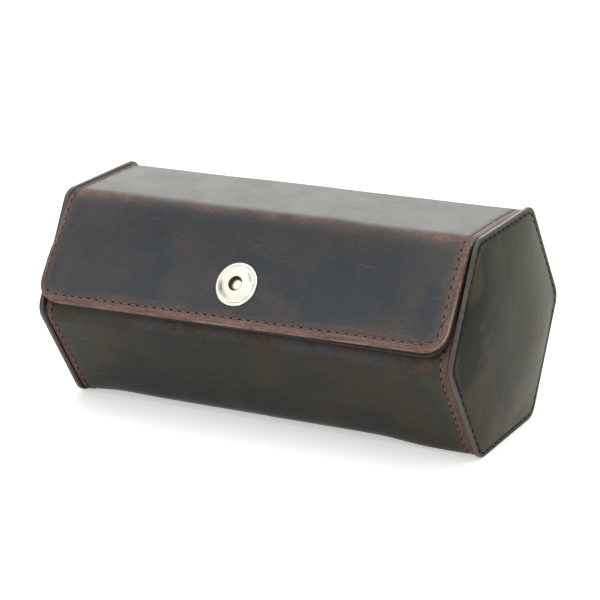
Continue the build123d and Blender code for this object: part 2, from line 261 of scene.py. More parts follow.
def pull_up_leather(name, cool, warm, worn, rubbed=1.0, tint=(1, 1, 1), olive=None, gloss=0.32, creased=1.0,
                    mottled=0.0, bend_sheen=None):
    """Waxed leather. Clouds of noise drift between a cool and a warm tone; where the mesh says haze the ground
    turns olive, unevenly by mottled, and bends away from a seam take a pale slate tone, a painted highlight.
    The worn tone, streaked by fibres, comes outside a seam by rubbed, in patches beside it, and at bends by
    creased. Long scratches, a pale raw edge and a fine speckle lie over that; the pale edge is partly frayed wear
    and partly a painted highlight on the rounded arris. Worn places are duller, and cells and fine noise raise the
    grain."""
    finish, shader, place = new_finish(name, Specular_IOR_Level=gloss, Specular_Tint=tint)
    clouds, patches = noise(place, 26, 4, distortion=1.2), noise(place, 75, 6, 0.62)
    fine = noise(place, 900, 5, 0.7)
    edge, seam, bend, haze = [mesh_value(place, key) for key in ("edge", "seam", "bend", "haze")]
    ground = two_tones(rescale(clouds, 0.40, 0.68), cool, warm)
    if olive:
        ground = two_tones(joined("ADD", haze, rescale(clouds, 0.36, 0.64, -mottled, mottled)), ground, olive)
    if bend_sheen:
        # Painted highlight: a pale slate tone on bends, away from the seams.
        sheen_share = joined("MULTIPLY", bend, rescale(patches, 0.40, 0.62, 0.85, 0.25), rescale(seam, 4.0, 34.0))
        ground = two_tones(sheen_share, ground, bend_sheen)
    margin = rescale(seam, -0.5, 0.25, rubbed, 0.0)
    beside = rescale(joined("ADD", seam, joined("MULTIPLY", patches, -8.0)), -5.0, 0.5, 0.4 * rubbed, 0.0)
    crease = rescale(patches, 0.36, 0.62, 0.2 * creased, 0.9 * creased)
    crease = joined("MINIMUM", joined("MULTIPLY", bend, crease, rescale(seam, 3.0, 22.0, 1.8, 1.0)), 1.0)
    rub = joined("MULTIPLY", joined("MAXIMUM", margin, beside, crease), rescale(fine, 0.34, 0.6, 0.55, 1.0))
    across = joined("MULTIPLY", joined("MINIMUM", seam, 3.0), 0.03)
    fibres = rescale(noise(place, 90, 4, 0.6, drift=across), 0.36, 0.62)
    toned = two_tones(rub, ground, two_tones(fibres, [t * 0.62 for t in worn], [t * 1.3 for t in worn]))
    scratches = noise(stretched(place, (0.25, 1.6, 1.6), (0.3, 0.5, 0.9)), 330, 3, 0.6)
    toned = two_tones(rescale(scratches, 0.64, 0.76, 0.0, 0.24 * rubbed), toned, (0.14, 0.11, 0.095))
    # The pale band at the raw edge is partly frayed wear and partly a painted highlight on the rounded arris.
    fray_and_highlight = joined("MULTIPLY", rescale(edge, 0.1, 0.5, 0.7 * rubbed, 0.0), rescale(patches, 0.46, 0.6))
    toned = two_tones(fray_and_highlight, toned, (0.30, 0.23, 0.19))
    lighter = rescale(seam, 0.0, 34.0, 1.2 + 0.1 * rubbed, 1.0)
    speckle = joined("MULTIPLY", rescale(fine, 0.3, 0.7, 0.86, 1.14), lighter)
    colour = put(place, "VectorMath", {0: toned, "Scale": speckle}, operation="SCALE").outputs[0]
    handled = joined("MULTIPLY", joined("ADD", rub, joined("MULTIPLY", bend, 2 * creased - 1)), 0.2)
    dull = joined("ADD", rescale(patches, 0.3, 0.7, 0.385, 0.435), handled)
    cells = put(place, "TexVoronoi", {"Vector": place, "Scale": 1150}, feature="SMOOTH_F1").outputs[0]
    grain = joined("ADD", joined("MULTIPLY", cells, 0.5), fine)
    raised_grain = raised(grain, 0.45, 0.00009, raised(patches, 0.16, 0.0006))
    feed(shader, {"Base Color": colour, "Roughness": dull, "Normal": raised_grain})
    return finish


def cut_edge(name, light, dark, roughness=0.75):
    """The cut side of leather: fine noise stretched along the sheet between two browns, with fibres."""
    finish, shader, place = new_finish(name, Roughness=roughness)
    fibre = noise(stretched(place, (0.5, 1, 1)), 1500, 5, 0.7)
    tone = two_tones(rescale(fibre, 0.35, 0.65), dark, light)
    feed(shader, {"Base Color": tone, "Normal": raised(fibre, 0.6, 0.00015)})
    return finish


def cut_depth(edge, radius):
    """How far a rounded arris lies under the face: radius less the circle's height over the edge."""
    reach = np.clip(radius - edge, 0, radius)
    return radius - np.sqrt(radius**2 - reach**2)


def groove(aside, deep=0.34, wide=0.55):
    """Depth pressed in by a row of stitches, a bell across it."""
    return deep * bell(aside, wide)


def within_seam(x, from_end, middle, half, radius):
    """Distance inside a row of stitches up both sides and across one end: the smaller of the two
    distances, and in a round corner the radius less the distance to the corner's centre."""
    a, b = half - np.abs(x - middle), from_end
    corner = radius - np.hypot(np.clip(radius - a, 0, None), np.clip(radius - b, 0, None))
    return np.where((a < radius) & (b < radius), corner, np.minimum(a, b))


def as_laid(x, u):
    """The wall's place as it is on the flat sheet."""
    return x, u


def unsewn(x, u):
    """Far inside any seam, everywhere."""
    return far_inside + 0 * x


def undented(x, u):
    """No extra depth, everywhere."""
    return 0 * x


near_edge = np.array([0, 0.06, 0.18, 0.35, 0.6, 1.0, 1.5, 1.95, 2.3, 2.6, 2.9, 3.2, 3.5, 3.9, 4.5, 5.2, 6.0])
edge_band, bend_step, flat_step, columns_between = near_edge[-1], 0.8, 3.0, 57


def wall_sheet(name, line, half, depths, free, finishes, lead=0.0, lay=as_laid, corner=2.0, arris=0.15,
               seam_at=unsewn, dent=undented, olive_at=(0, 1), rub_shift=0.0):
    """A closed sheet that follows the wall between two depths, half to each side. It starts lead along
    the line, and free says if its start and end are free edges. lay(x, u) moves a place of the flat
    sheet to its x and length along the wall, seam_at(x, u) is the distance inside its seam, dent(x, u)
    an extra depth; the tone turns olive from olive_at[0] to [1], and bends are rubbed rub_shift past
    their middle. The grid is closest along free edges and closer in bends than on flats. A free end's
    corners are rounded by scaling each corner square to a quarter disc, so that the distance from the
    edge stays the same. Two slow sine waves make the skin lie a little unevenly."""
    length = line["length"] - lead
    stations = line["stations"] - lead
    start, end = free
    breaks = [near_edge if start else np.zeros(1)]
    low, high = (edge_band if start else 0.0), length - (edge_band if end else 0.0)
    for number, (a, b) in enumerate(zip(stations, stations[1:])):
        a, b = max(a, low), min(b, high)
        if b - a > 0.01:
            count = int(np.ceil((b - a) / (bend_step if number % 2 else flat_step)))
            breaks.append(np.linspace(a, b, count + 1)[1:])
    breaks.append((length - near_edge)[::-1][1:] if end else np.zeros(0))
    between = np.linspace(edge_band - half, half - edge_band, columns_between)[1:-1]
    columns = np.concatenate([near_edge - half, between, (half - near_edge)[::-1]])
    u, x = np.meshgrid(np.concatenate(breaks), columns, indexing="ij")
    edge = half - np.abs(x)
    for is_free, sign, far in ((start, -1, 0.0), (end, 1, length)):
        if is_free:
            edge = np.minimum(edge, sign * (far - u))
            p = (np.abs(x) - (half - corner)) / corner
            q = (sign * (u - far) + corner) / corner
            inside = (p > 0) & (q > 0)
            shrink = np.where(inside, np.maximum(p, q) / np.maximum(np.hypot(p, q), 1e-9), 1)
            x = np.where(inside, np.sign(x) * (half - corner + p * shrink * corner), x)
            u = np.where(inside, far + sign * (q * shrink * corner - corner), u)
    across, along = lay(x, u)
    sway = 0.10 * np.sin(across / 17 + u / 23 + 1.3)
    sway += 0.07 * np.sin(across / 9.1 - u / 13 + 0.4)
    sway = np.maximum(sway * np.clip((edge - 4) / 8, 0, 1), -0.08) * smooth_step(np.minimum(u, length - u) / 12)
    stitched, pressed = seam_at(x, u), dent(x, u)
    outer, inner = depths
    skin = on_wall(line, across, along, outer + cut_depth(edge, arris) + groove(stitched) + sway + pressed)
    under = on_wall(line, across, along, inner - cut_depth(edge, 0.25) + pressed)
    count = u.size
    loop = np.arange(count).reshape(u.shape)
    rim = np.concatenate([loop[0, :-1], loop[:-1, -1], loop[-1, :0:-1], loop[:0:-1, 0]])
    face = grid_quads(*u.shape)
    walls = np.column_stack([rim, np.roll(rim, -1), np.roll(rim, -1) + count, rim + count])
    faces = [np.vstack([face[:, ::-1], face + count, walls])]
    finish_of = np.repeat([0, 1, len(finishes) - 1], [len(face), len(face), len(walls)])
    haze = smooth_step((along - olive_at[0]) / (olive_at[1] - olive_at[0]))
    values = {"edge": edge, "seam": stitched, "bend": bend_share(line, along, rub_shift), "haze": haze}
    values = {key: np.tile(value.ravel(), 2) for key, value in values.items()}
    points = np.vstack([skin.reshape(-1, 3), under.reshape(-1, 3)])
    return make_piece(name, points, faces, finishes, finish_of, values)


wrap_line = bent_line([rear_join, back, base_back, base_front, front, lip_end], bend_radius)
leather_cut = cut_edge("leather_cut", (0.26, 0.18, 0.14), (0.09, 0.05, 0.04))
rear_olive = (0.043, 0.043, 0.030)
# The wrap's bends take a pale slate tone away from the seams: a painted highlight.
wrap_skin, low_skin = [
    pull_up_leather(
        name, (0.029, 0.031, 0.025), (0.044, 0.037, 0.025), (0.115, 0.064, 0.048), tint=(0.99, 0.99, 0.93),
        olive=rear_olive, gloss=gloss, creased=0.4, bend_sheen=(0.062, 0.069, 0.076))
    for name, gloss in (("wrap_skin", 0.32), ("wrap_low_skin", 0.105))]


def wrap_seam_at(x, u):
    """Distance inside the wrap's row of stitches, counted down from the lip's edge."""
    from_rim = wrap_line["length"] - stitch_inset - u
    return within_seam(x, from_rim, wrap_seam_middle, wrap_seam_half, wrap_seam_corner)


def front_hollow(x, u):
    """The lower front bend lies up to 1.35 mm in: a bell across the bend, fading to both ends."""
    share = smooth_step((hollow_half - np.abs(x - hollow_middle)) / hollow_fade)
    return hollow_depth * bell(u - wrap_line["stations"][5:7].mean(), hollow_width) * share


wrap = wall_sheet(
    "wrap", wrap_line, wrap_half, (0.0, leather), (False, True), [wrap_skin, leather_cut], arris=0.6,
    seam_at=wrap_seam_at, dent=front_hollow, olive_at=(30, 0))
# The wax is worn duller everywhere but on the upper rear wall: those faces take the low skin.
wrap.data.materials.append(low_skin)
_, face_y, face_z = read(wrap.data.polygons, "center", 3).T
face_finish = read(wrap.data.polygons, "material_index", 1)[:, 0]
face_finish[(face_finish == 0) & ~((face_y > 0) & (face_z > middle / 1000))] = 2
wrap.data.polygons.foreach_set("material_index", face_finish.astype(np.int32))
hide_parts("wrap_leather")
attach(wrap, "case")


# ---- Lid ----
# The same leather goes on from the rear wall over the hinge bend, the top and the front flap. It is cut
# a little out of square: the left side reaches out to the end panel and the flap is longest there. The
# flap's lower corners are round, and a margin is stitched off all round its free edges.
lid_half, lid_wide, lid_skew = 87.0, 0.75, 1.1
lid_seam_middle, lid_seam_half, lid_seam_corner = -0.85, 85.3, 6.0
flap_end, flap_spare, flap_corner = np.array([-50.412, 48.724]), 4.0, 9.0
skew_fade, shift_fade, jog_reach, jog_fade = 40, 16, 0.65, 30
lap_reach, lap_from, lap_band, lap_low, lap_fade = 1.35, 78, 8, 10, 22
lift_height, lift_middle, lift_width = 0.6, 20, 6
down_flap = (flap_end - top_front) / np.hypot(*(flap_end - top_front))
lid_line = bent_line([flap_end + down_flap * flap_spare, top_front, top_back, rear_join], bend_radius)
lid_length = lid_line["length"] - flap_spare
hinge_low, hinge_high = lid_line["stations"][3:5]


def left_margin(x):
    """0 on the lid's middle and 1 from the left row of stitches out, rising smoothly over 8 mm."""
    return smooth_step((-x - lap_from) / lap_band)


def lid_lay(x, u):
    """Flat lid to wall: shifted left by lid_wide as far as the hinge, and skewed at the free end. The
    left margin laps over the end panel's rim by up to 1.35 mm on the lower half of the flap."""
    along = u + flap_spare + lid_skew * x / lid_half * np.clip(1 - u / skew_fade, 0, 1)
    lap = lap_reach * left_margin(x) * (1 - smooth_step((u - lap_low) / lap_fade))
    shift = lid_wide * (1 - smooth_step((along - hinge_low + shift_fade) / shift_fade))
    return x - shift - lap, along


def lid_seam_jog(x, u):
    """How far the left row of stitches comes in down the rear wall, to meet the wrap's row."""
    return jog_reach * smooth_step((u - lid_length + jog_fade) / jog_fade) * (x < 0)


def lid_seam_at(x, u):
    """Distance inside the lid's row of stitches, counted up from the flap's edge."""
    from_edge = u - stitch_inset
    return within_seam(x - lid_seam_jog(x, u), from_edge, lid_seam_middle, lid_seam_half, lid_seam_corner)


def lap_dent(x, u):
    """The lapping margin lifts by up to 0.6 mm, a bell along the flap, where it climbs on the rim."""
    return -lift_height * left_margin(x) * bell(u - lift_middle, lift_width)


lid_skin = pull_up_leather(
    "lid_skin", (0.028, 0.033, 0.039), (0.047, 0.042, 0.038), (0.133, 0.073, 0.059), tint=(0.98, 1.0, 0.95),
    olive=rear_olive)
lid_olive = lid_line["stations"][2] + np.array([-2.5, 2.5])
lid = wall_sheet(
    "lid", lid_line, lid_half + lid_wide, (0.0, leather), (True, False), [lid_skin, leather_cut], flap_spare,
    lid_lay, flap_corner, 0.5, lid_seam_at, lap_dent, lid_olive, 2.8)
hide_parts("lid_leather", "hinge_leather")
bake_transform(lid)

# ---- Stiffening boards ----
# Grey-brown pulp board, 1.5 mm, glued between leather and lining on every flat of the wall, in the
# lid, and behind the middle of each end lining. Only their edges can be seen, dyed dark.
def refinish(node, finish):
    """Gives a solid that is kept as it is a new finish."""
    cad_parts[node].data.materials.clear()
    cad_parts[node].data.materials.append(finish)


board_finish, shader, place = new_finish("board_finish", Roughness=0.85)
pulp = noise(place, 700, 6, 0.7)
tone = two_tones(rescale(pulp, 0.3, 0.7), (0.022, 0.014, 0.011), (0.05, 0.032, 0.024))
feed(shader, {"Base Color": tone, "Normal": raised(pulp, 0.5, 0.0002)})
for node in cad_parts:
    if node.endswith("_board"):
        refinish(node, board_finish)

# ---- Linings ----
# Soft suede, 0.8 mm, glued over the boards: one length inside the wrap up to the lip's edge, and one
# inside the lid that runs on over the hinge.
def suede(name, tone, shade, nap=1.0):
    """Suede: broad soft patches of brushed nap between two tones, a fine fibre noise and a sheen."""
    finish, shader, place = new_finish(
        name, Roughness=0.92, Sheen_Weight=0.35, Sheen_Roughness=0.5,
        Sheen_Tint=[min(1, 2.2 * t) for t in tone])
    brushed, fibre = noise(place, 75, 4, distortion=0.5), noise(place, 2600, 4, 0.7)
    mixed = joined("ADD", joined("MULTIPLY", brushed, 0.5), joined("MULTIPLY", fibre, 0.5))
    toned = two_tones(rescale(mixed, 0.34, 0.66), shade, tone)
    feed(shader, {"Base Color": toned, "Normal": raised(fibre, 0.5 * nap, 0.00025)})
    return finish


lining_finish = suede("lining_finish", (0.20, 0.115, 0.062), (0.135, 0.074, 0.040))
edge_paint = cut_edge("edge_paint", (0.05, 0.033, 0.026), (0.022, 0.014, 0.011))
lining_finishes = [edge_paint, lining_finish, edge_paint]
lining_depths = leather + board, wall
inner_half = wrap_half - board


def lid_lining_lay(x, u):
    """Flat lining to wall: as wide as the lid's boards, narrowing past the hinge to the gussets."""
    _, along = lid_lay(x, u)
    past = smooth_step((along - hinge_low) / (hinge_high - hinge_low))
    return x * (1 + (inner_half / lid_half - 1) * past), along


wrap_lining = wall_sheet(
    "wrap_lining_suede", wrap_line, inner_half, lining_depths, (False, True), lining_finishes)
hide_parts("wrap_lining")
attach(wrap_lining, "case")
lid_lining = wall_sheet(
    "lid_lining_suede", lid_line, lid_half - 0.05, lining_depths, (True, False), lining_finishes, flap_spare,
    lid_lining_lay, flap_corner)
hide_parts("lid_lining", "hinge_lining")
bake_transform(lid_lining)

# ---- Gussets ----
# A strip of plain dark leather folded to an L, glued under the wrap's edge and down the inside of
# each end panel, so that the wrap's edge stitching and the panel's stitching both go through it.
wrap_start = top_back + (back - top_back) / side * bend_radius * np.tan(np.radians(30))
gusset_line = bent_line([wrap_start, back, base_back, base_front, front, lip_end], bend_radius)
gusset_leg, gusset_depth, under_board = 7.8, wall + 4.8, leather + board
gusset_finish = pull_up_leather(
    "gusset_finish", (0.022, 0.015, 0.012), (0.034, 0.022, 0.017), (0.05, 0.03, 0.022), 0.3)
gusset_aside, gusset_section = np.array([
    (0.0, gusset_depth - 0.2), (0.0, leather + 0.15), (0.15, leather), (gusset_leg - 0.15, leather),
    (gusset_leg, leather + 0.15), (gusset_leg, under_board - 0.15), (gusset_leg - 0.15, under_board),
    (board + 0.4, under_board), (board + 0.1, under_board + 0.1), (board, under_board + 0.4),
    (board, gusset_depth - 0.2), (board - 0.2, gusset_depth), (0.2, gusset_depth)]).T


def line_spots(line, on_flat, on_arc):
    """Lengths along a line: spaced widely on its flats and closely on its arcs."""
    spots = []
    for number, (a, b) in enumerate(zip(line["stations"], line["stations"][1:])):
        count = int(np.ceil((b - a) / (on_arc if number % 2 else on_flat)))
        spots.append(np.linspace(a, b, count + 1)[:-1])
    return np.r_[np.concatenate(spots), line["length"]]


def fan(middle, first, second):
    """Triangles from one middle point to pairs of corners."""
    return np.column_stack([np.full(len(first), middle), first, second])


def shell_faces(rows, sides):
    """Faces of a closed shell: its rings joined one to the next, and a fan to a tip at both ends."""
    ring = np.arange(sides)
    after, last = (ring + 1) % sides, (rows - 1) * sides
    tips = fan(rows * sides, after, ring), fan(rows * sides + 1, ring + last, after + last)
    return [grid_quads(rows, sides, round_columns=True), *tips]


def capped_rings(name, rings, finishes, finish_of_ring=None, values=None, sharp=50):
    """A closed shell from rings of points, with the middle of its first and last ring as tips."""
    rings = np.array(rings)
    if finish_of_ring is None:
        finish_of_ring = np.zeros(len(rings) - 1)
    points = np.vstack([rings.reshape(-1, 3), rings[0].mean(0), rings[-1].mean(0)])
    finish_of = np.repeat([*finish_of_ring, finish_of_ring[0], finish_of_ring[-1]], rings.shape[1])
    return make_piece(name, points, shell_faces(*rings.shape[:2]), finishes, finish_of, values, sharp)


gusset_spots = line_spots(gusset_line, 4.0, 0.9)
for name, sign in (("left", -1), ("right", 1)):
    rings = on_wall(gusset_line, sign * (wrap_half - gusset_aside), gusset_spots[:, None], gusset_section)
    gusset = capped_rings(f"{name}_gusset_strip", rings, [gusset_finish])
    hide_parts(f"{name}_gusset")
    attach(gusset, "case")

# ---- End linings ----
# A backing of 0.8 mm leather under the whole end panel, its edge left raw; inside the case its middle
# is a suede pan, drawn over a board and a thin wadding, that stands up inside the gusset.
panel_corner, pan_inset = 7.5, wall + 5.4
half_side = height / np.sqrt(3) / 2
hexagon = [(-half_side, height), (half_side, height), (2 * half_side, middle), (half_side, 0), (-half_side, 0),
           (-2 * half_side, middle)]
backing_insets = [3.2, 0.5, 0.5, 0.2, 0.5, 3.2]
lip_meets_top = front + (lip_end - front) * ((top - middle) / (lip_end - front)[1])
chamber = [lip_meets_top, top_back, back, base_back, base_front, front]
# The share of its outline and the height over the wrap's edge of each ring, backing and then pan.
backing_steps = [(0.5, 0.8), (1, 0.8), (1, 0.15), (0.998, 0), (0.93, 0)]
pan_steps = [(1.01, 0), (1, -0.2), (1, -0.9), (0.99, -1.3), (0.965, -1.5), (0.9, -1.75), (0.8, -1.95), (0.6, -2.1),
             (0.3, -2.2), (0.08, -2.2)]
backing_cut = cut_edge("backing_cut", (0.085, 0.042, 0.030), (0.03, 0.017, 0.013), 0.6)


def side_faces(corners):
    """The direction that looks inside from every side of a closed outline, square to the side."""
    run = np.roll(corners, -1, axis=0) - corners
    return np.column_stack([run[:, 1], -run[:, 0]]) / np.hypot(*run.T)[:, None]


def inset_corners(corners, depth):
    """Corners of a closed outline when every side moves inside by its depth: each corner's shift meets
    both sides' depths, solved from their two directions."""
    corners = np.array(corners)
    face = side_faces(corners)
    depth = np.broadcast_to(depth, len(corners))
    pairs = np.stack([np.roll(face, 1, axis=0), face], axis=1)
    goals = np.stack([np.roll(depth, 1), depth], axis=1)[..., None]
    return corners + np.linalg.solve(pairs, goals)[..., 0]


def closed_line(corners, radius, on_flat=26, on_arc=9):
    """A closed outline with rounded corners: its bent line starts and ends in the middle of one side,
    sampled as often on every flat and arc, so that outlines with as many corners match point by point."""
    corners = [np.array(corner, float) for corner in corners]
    begin = (corners[-1] + corners[0]) / 2
    line = bent_line([begin] + corners + [begin], radius)
    runs = list(zip(line["stations"], line["stations"][1:]))
    spots = []
    for number, (a, b) in enumerate(runs):
        count = on_arc if number % 2 else (on_flat // 2 if number in (0, len(runs) - 1) else on_flat)
        spots.append(np.linspace(a, b, count + 1)[:-1])
    return line, np.concatenate(spots)


def brought_in(closed, inset=0.0):
    """The points of a closed outline, moved inside by inset."""
    line, spots = closed
    return np.column_stack(on_line(line, spots, inset))


def shrunk(outline, about, share):
    """An outline scaled to a share of its size about a point."""
    return about + (outline - about) * share


def slice_at(x, outline):
    """An outline of the section as a ring of points at x."""
    return np.column_stack([np.broadcast_to(x, len(outline)), outline])


centre = np.array([0, middle])
panel_edge = closed_line(hexagon, panel_corner)
backing_outline = brought_in(closed_line(inset_corners(hexagon, backing_insets), panel_corner - 0.5))
pan_outline = brought_in(closed_line(chamber, panel_corner + pan_inset), pan_inset)
pan_centre = pan_outline.mean(0)
for name, sign in (("left", -1), ("right", 1)):
    steps = [(shrunk(backing_outline, centre, share), rise) for share, rise in backing_steps]
    steps += [(shrunk(pan_outline, pan_centre, share), rise) for share, rise in pan_steps]
    rings = [slice_at(sign * (wrap_half + rise), outline) for outline, rise in steps]
    finish_of_ring = np.repeat([1, 0, 2], [2, 3, len(pan_steps) - 1])
    finishes = [gusset_finish, backing_cut, lining_finish]
    backing = capped_rings(f"{name}_end_backing", rings, finishes, finish_of_ring)
    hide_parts(f"{name}_end_lining")
    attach(backing, "case")

# ---- End panels ----
# A hexagon of the same leather closes each end. It is stitched round its edge to the gusset, swells
# from the stitching like a low pillow, and its edge is rounded over and burnished smooth.
end_leather, end_inset, rim_arris = 1.6, 2.0, 0.6
end_seat = wrap_half + lining
end_shift = np.array([-0.4, -0.1])
crown_height, crown_reach = 2.8, 24
back_steps = [(1.2, 0.0), (0.25, 0.0), (0.08, 0.05), (0.01, 0.16), (0.0, 0.25), (0.0, 0.8)]
face_insets = [0, 0.05, 0.15, 0.3, 0.45, rim_arris, 0.8, 1.1, 1.35, 1.6, 1.9, 2.2, 2.5, 2.8, 3.3, 4.0, 5.0, 6.0]
# Its olive tone, paler than the ground, carries the painted light towards the panel's rear.
panel_skin = pull_up_leather(
    "panel_skin", (0.014, 0.015, 0.010), (0.040, 0.031, 0.018), (0.085, 0.062, 0.045), 0.0, (0.98, 0.99, 0.80),
    (0.069, 0.065, 0.041), 0.085, mottled=0.15)
burnished, shader, place = new_finish("burnished_edge", Coat_Weight=0.15, Coat_Roughness=0.3)
streak = noise(place, 500, 4)
tone = two_tones(rescale(streak, 0.3, 0.7), (0.030, 0.029, 0.025), (0.060, 0.058, 0.050))
feed(shader, {"Base Color": tone, "Roughness": rescale(streak, 0.3, 0.7, 0.36, 0.48)})
# The panel's inner arris is the flesh side, painted a light grey that stands in for the sky's reflection on a rim
# face that lies in shade.
flesh_side_and_painted_light = cut_edge("flesh_side_and_painted_light", (0.20, 0.185, 0.17), (0.12, 0.11, 0.10), 0.55)


def pillow_face(inset, deep=0.0):
    """Height of the end panel's face over its seat, from the distance to its edge: full thickness,
    less the rounded arris and the stitch groove, plus a crown from the soft distance to the sides and
    a low step where the padding starts inside the stitches."""
    crown = crown_height * (1 - (1 - np.clip(deep / crown_reach, 0, 1)) ** 2)
    step = 0.16 * (1 - np.exp(-np.clip(inset - end_inset - 0.2, 0, None) / 0.6))
    pressed = groove(inset - end_inset, wide=0.5)
    return end_leather - 0.1 - cut_depth(inset, rim_arris) - pressed + (crown + step)


def soft_distance(points, soft=4):
    """Distance inside the hexagon past its seam, with its six sides merged: -4 log(sum(exp(-d / 4)))."""
    corners = np.array(hexagon)
    away = ((points[:, None, :] - corners) * side_faces(corners)).sum(-1)
    return np.clip(-soft * np.log(np.exp(-away / soft).sum(-1)) - end_inset - 0.4, 0, None)


for name, sign in (("left", -1), ("right", 1)):
    # Each step is a ring's outline, its height over the seat, its finish and its distance inside the seam.
    steps = [(shrunk(brought_in(panel_edge), centre, 0.5), 0.0, 1, 8.4)]
    steps += [(brought_in(panel_edge, inset), rise, 2 if rise < 0.1 else 1, -0.6) for inset, rise in back_steps]
    for inset in face_insets:
        outline = brought_in(panel_edge, inset) + end_shift * np.clip((inset - 0.3) / (end_inset - 0.3), 0, 1)
        steps.append((outline, pillow_face(inset, soft_distance(outline)), int(inset < 0.4), inset))
    last = steps[-1][0]
    for share in np.linspace(1, 0.04, 14)[1:]:
        outline = shrunk(last, centre, share)
        ripple = 0.08 * np.sin(outline[:, 0] / 9 + outline[:, 1] / 13 + sign)
        steps.append((outline, pillow_face(9.0, soft_distance(outline)) + ripple, 0, 6.0 + (1 - share) * 33))
    rings = np.array([slice_at(sign * (end_seat + rise), outline) for outline, rise, _, _ in steps])
    inside_seam = np.r_[np.repeat([away - end_inset for _, _, _, away in steps], rings.shape[1]), 9.0, 40.0]
    # Painted light: the face turns to the paler olive tone towards its rear, as if more light falls there.
    painted_rear_light = smooth_step(np.r_[rings[:, :, 1].ravel(), 0.0, 0.0] / 85 + 0.5)
    finish_of_ring = [finish for _, _, finish, _ in steps][:-1]
    panel = capped_rings(
        f"{name}_end_panel", rings, [panel_skin, burnished, flesh_side_and_painted_light], finish_of_ring,
        {"seam": inside_seam, "haze": painted_rear_light})
    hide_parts(f"{name}_end_leather")
    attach(panel, "case")

# ---- Seams ----
# Waxed thread, about seven stitches to 25 mm, laid in a pressed groove: brown along the wrap's sides and lip and
# round the lid's margin, black round each end panel. Each stitch dips into a punched hole, whose shade is painted
# as a flat dark lens.
def thread(name, dark, light, gloss=0.5):
    """Waxed thread: bands of a wave between a dark and a light tone, painted shade and highlight of its twisted
    plies.
    """
    finish, shader, place = new_finish(name, Roughness=0.6, Specular_IOR_Level=gloss)
    # The wave's dark and light bands are painted shade and highlight of the twisted plies.
    ply_shade = put(place, "TexWave", {"Vector": place, "Scale": 900, "Distortion": 2}).outputs[1]
    feed(shader, {"Base Color": two_tones(ply_shade, dark, light)})
    return finish


brown_thread = thread("brown_thread", (0.07, 0.05, 0.044), (0.22, 0.17, 0.155))
black_thread = thread("black_thread", (0.003, 0.003, 0.003), (0.010, 0.010, 0.009), 0.1)
# The holes' darkness is painted shade: near-black lenses with a faint mottle.
hole_shade_finish, shader, place = new_finish("hole_shade_finish", Roughness=0.9, Specular_IOR_Level=0.05)
shade_mottle = noise(place, 1500)
feed(shader, {"Base Color": two_tones(shade_mottle, (0.002, 0.001, 0.001), (0.006, 0.004, 0.004))})
black_pitch, thread_depth = 3.87, 0.34
tube_steps, tube_sides, hole_sides = 7, 6, 8


def seam(name, at, length, count, finish, thick=0.28, rise=0.2, gap=1.2, slant=0.1, hole=(0.62, 0.5)):
    """Stitches evenly along a seam. at(along, aside, lift) is the place of a point beside and over it.
    A stitch is a tube whose middle line is lift = rise - 0.75 t**6 over its length, t from -1 to 1, and which
    leans aside by slant; a flat lens painted dark lies at each hole, as painted shade inside it."""
    pitch = length / count
    middle = (np.arange(count) + 0.5)[:, None, None] * pitch
    t = np.linspace(-1, 1, tube_steps)[None, :, None]
    turn = np.radians(np.arange(0, 360, 360 // tube_sides))[None, None, :]
    wobble = 0.06 * np.sin(middle * 2.7)
    body = np.sqrt(np.clip(1.0 - 0.55 * t**4, 0.1, 1)) * thick
    along = middle + t * (pitch - gap) / 2 + 0 * turn
    rings = at(along, slant * t + wobble + body * np.cos(turn), rise - 0.75 * t**6 + body * np.sin(turn))
    ends = np.array([[-1, 1]])
    tip_along = middle[:, :, 0] + ends * (pitch - gap + 0.05) / 2
    tips = at(tip_along, slant * ends + wobble[:, :, 0], np.full((count, 2), -0.66))
    tube_points = tube_steps * tube_sides
    cell = np.concatenate([rings.reshape(count, tube_points, 3), tips], axis=1)
    quads, *tris = shell_faces(tube_steps, tube_sides)
    spots = np.arange(count + 1)[:, None] * pitch
    turn = np.radians(np.arange(0, 360, 360 // hole_sides))[None, :]
    size = 1 + 0.14 * np.sin(spots * 3.3)
    rim = at(spots + hole[0] * size * np.cos(turn), hole[1] * size * np.sin(turn), 0.05 + 0 * (spots + turn))
    poles = at(spots + np.zeros((1, 2)), np.zeros((1, 2)) + 0 * spots, np.array([[-0.2, 0.08]]) + 0 * spots)
    lens = np.concatenate([rim, poles], axis=1)
    _, *lens_tris = shell_faces(1, hole_sides)
    first = np.arange(count)[:, None, None] * (tube_points + 2)
    second = count * (tube_points + 2) + np.arange(count + 1)[:, None, None] * (hole_sides + 2)
    tris, lens_tris = np.vstack(tris) + first, np.vstack(lens_tris) + second
    faces = [(quads + first).reshape(-1, 4), tris.reshape(-1, 3), lens_tris.reshape(-1, 3)]
    finish_of = np.repeat([0, 1], [len(faces[0]) + len(faces[1]), len(faces[2])])
    points = np.vstack([cell.reshape(-1, 3), lens.reshape(-1, 3)])
    return make_piece(name, points, faces, [finish, hole_shade_finish], finish_of, sharp=180)


def seam_on_wall(name, line, start, crossing, row_middle, row_half, corner, lay, dent):
    """A seam on a flat sheet: from start along one side to the crossing, across it, and back along the
    other side. lay and dent move it with its sheet."""
    low, high = row_middle - row_half, row_middle + row_half
    row = bent_line([(low, start), (low, crossing), (high, crossing), (high, start)], corner)

    def at(along, aside, lift):
        """The row's place on the flat sheet, laid on the wall and raised by lift from its groove."""
        x, u = on_line(row, along, aside)
        return on_wall(line, *lay(x, u), thread_depth + dent(x, u) - lift)

    return seam(name, at, row["length"], int(round(row["length"] / stitch_pitch)), brown_thread)


def lid_seam_lay(x, u):
    """As the lid lies, with the left row of stitches jogged in."""
    return lid_lay(x + lid_seam_jog(x, u), u)


